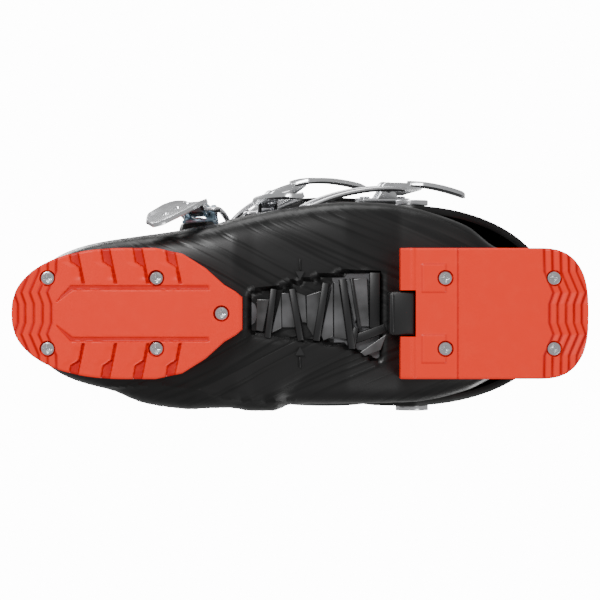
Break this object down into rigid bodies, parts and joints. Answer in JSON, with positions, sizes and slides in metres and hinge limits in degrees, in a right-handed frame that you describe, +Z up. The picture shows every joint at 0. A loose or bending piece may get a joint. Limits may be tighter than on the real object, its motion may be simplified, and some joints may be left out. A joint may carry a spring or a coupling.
{
  "type": "alpine ski boot",
  "caption": "Left alpine ski boot: hinged cuff over a lower shell, soft liner, overcentre wire-bail buckles, power strap, and bolted-on soles with ledges for a binding.",
  "frame": {"origin": "The mid-sole mark on the walking surface, in the middle of the sole's length and width", "axes": "+X to the toe, +Y to the outer (lateral) side, +Z up"},
  "size_m": [0.305, 0.1399, 0.3246],
  "materials": {
    "shell_black": "satin black injection-moulded plastic with fine flowing streaks",
    "sole_red": "orange-red moulded sole plastic",
    "board_grey": "moulded foam-backed board",
    "bush_dark": "turned nylon",
    "gasket": "soft moulded seal",
    "liner_fabric": "padded knit over foam",
    "strap_webbing": "woven webbing",
    "buckle_alloy": "polished cast alloy",
    "steel": "bright steel wire and fasteners"
  },
  "bodies": {
    "shell": {"lower_shell": "shell_black", "toe_sole": "sole_red", "heel_sole": "sole_red", "toe_sole_screws": "steel", "heel_sole_screws": "steel", "arch_lock_block": "shell_black", "boot_board": "board_grey", "liner_foot": "liner_fabric", "instep_gasket": "gasket", "toe_buckle_base": "buckle_alloy", "toe_buckle_rivets": "steel", "toe_ladder": "buckle_alloy", "toe_ladder_rivets": "steel", "instep_buckle_base": "buckle_alloy", "instep_buckle_rivets": "steel", "instep_ladder": "buckle_alloy", "instep_ladder_rivets": "steel", "pivot_bush_outer": "bush_dark", "pivot_bush_inner": "bush_dark"},
    "cuff_body": {"cuff": "shell_black", "pivot_bolt_outer": "steel", "pivot_bolt_inner": "steel", "spine_plate": "shell_black", "spine_screws": "steel", "rear_spoiler": "shell_black", "liner_cuff": "liner_fabric", "liner_tongue": "liner_fabric", "liner_pull_loop": "strap_webbing", "power_strap": "strap_webbing", "power_strap_rivets": "steel", "lower_cuff_buckle_base": "buckle_alloy", "lower_cuff_buckle_rivets": "steel", "lower_cuff_ladder": "buckle_alloy", "lower_cuff_ladder_rivets": "steel", "upper_cuff_buckle_base": "buckle_alloy", "upper_cuff_buckle_rivets": "steel", "upper_cuff_ladder": "buckle_alloy", "upper_cuff_ladder_rivets": "steel"},
    "toe_lever_body": {"toe_lever": "buckle_alloy", "toe_lever_pin": "steel"},
    "toe_bail_body": {"toe_bail": "steel", "toe_bail_barrel": "steel"},
    "instep_lever_body": {"instep_lever": "buckle_alloy", "instep_lever_pin": "steel"},
    "instep_bail_body": {"instep_bail": "steel", "instep_bail_barrel": "steel"},
    "lower_cuff_lever_body": {"lower_cuff_lever": "buckle_alloy", "lower_cuff_lever_pin": "steel"},
    "lower_cuff_bail_body": {"lower_cuff_bail": "steel", "lower_cuff_bail_barrel": "steel"},
    "upper_cuff_lever_body": {"upper_cuff_lever": "buckle_alloy", "upper_cuff_lever_pin": "steel"},
    "upper_cuff_bail_body": {"upper_cuff_bail": "steel", "upper_cuff_bail_barrel": "steel"}
  },
  "joints": [
    {"name": "cuff_flex", "type": "hinge", "parent": "shell", "child": "cuff_body", "pos_m": [-0.062, 0, 0.082], "axis": [0, 1, 0], "range_deg": [0, 8]},
    {"name": "toe_lever_swing", "type": "hinge", "parent": "shell", "child": "toe_lever_body", "pos_m": [0.054, 0.0545, 0.0594], "axis": [0.9833, -0.0615, 0.1715], "range_deg": [0, 115]},
    {"name": "toe_bail_swing", "type": "hinge", "parent": "toe_lever_body", "child": "toe_bail_body", "pos_m": [0.05561, 0.05583, 0.05065], "axis": [0.9833, -0.0615, 0.1715], "range_deg": [-150, 0]},
    {"name": "instep_lever_swing", "type": "hinge", "parent": "shell", "child": "instep_lever_body", "pos_m": [0.02, 0.053, 0.088], "axis": [0.9896, -0.0504, -0.1344], "range_deg": [0, 115]},
    {"name": "instep_bail_swing", "type": "hinge", "parent": "instep_lever_body", "child": "instep_bail_body", "pos_m": [0.01895, 0.05541, 0.07939], "axis": [0.9896, -0.0504, -0.1344], "range_deg": [-150, 0]},
    {"name": "lower_cuff_lever_swing", "type": "hinge", "parent": "cuff_body", "child": "lower_cuff_lever_body", "pos_m": [-0.05, 0.0718, 0.164], "axis": [-0.1736, -0.0515, -0.9835], "range_deg": [0, 115]},
    {"name": "lower_cuff_bail_swing", "type": "hinge", "parent": "lower_cuff_lever_body", "child": "lower_cuff_bail_body", "pos_m": [-0.05886, 0.07188, 0.16556], "axis": [-0.1736, -0.0515, -0.9835], "range_deg": [-150, 0]},
    {"name": "upper_cuff_lever_swing", "type": "hinge", "parent": "cuff_body", "child": "upper_cuff_lever_body", "pos_m": [0.016, 0.0695, 0.228], "axis": [-0.2735, -0.0442, -0.9609], "range_deg": [0, 115]},
    {"name": "upper_cuff_bail_swing", "type": "hinge", "parent": "upper_cuff_lever_body", "child": "upper_cuff_bail_body", "pos_m": [0.0079, 0.07277, 0.23016], "axis": [-0.2735, -0.0442, -0.9609], "range_deg": [-150, 0]}
  ],
  "couplings": [
    {"joint": "toe_bail_swing", "follows": "toe_lever_swing", "ratio": -1.3},
    {"joint": "instep_bail_swing", "follows": "instep_lever_swing", "ratio": -1.3},
    {"joint": "lower_cuff_bail_swing", "follows": "lower_cuff_lever_swing", "ratio": -1.3},
    {"joint": "upper_cuff_bail_swing", "follows": "upper_cuff_lever_swing", "ratio": -1.3}
  ]
}
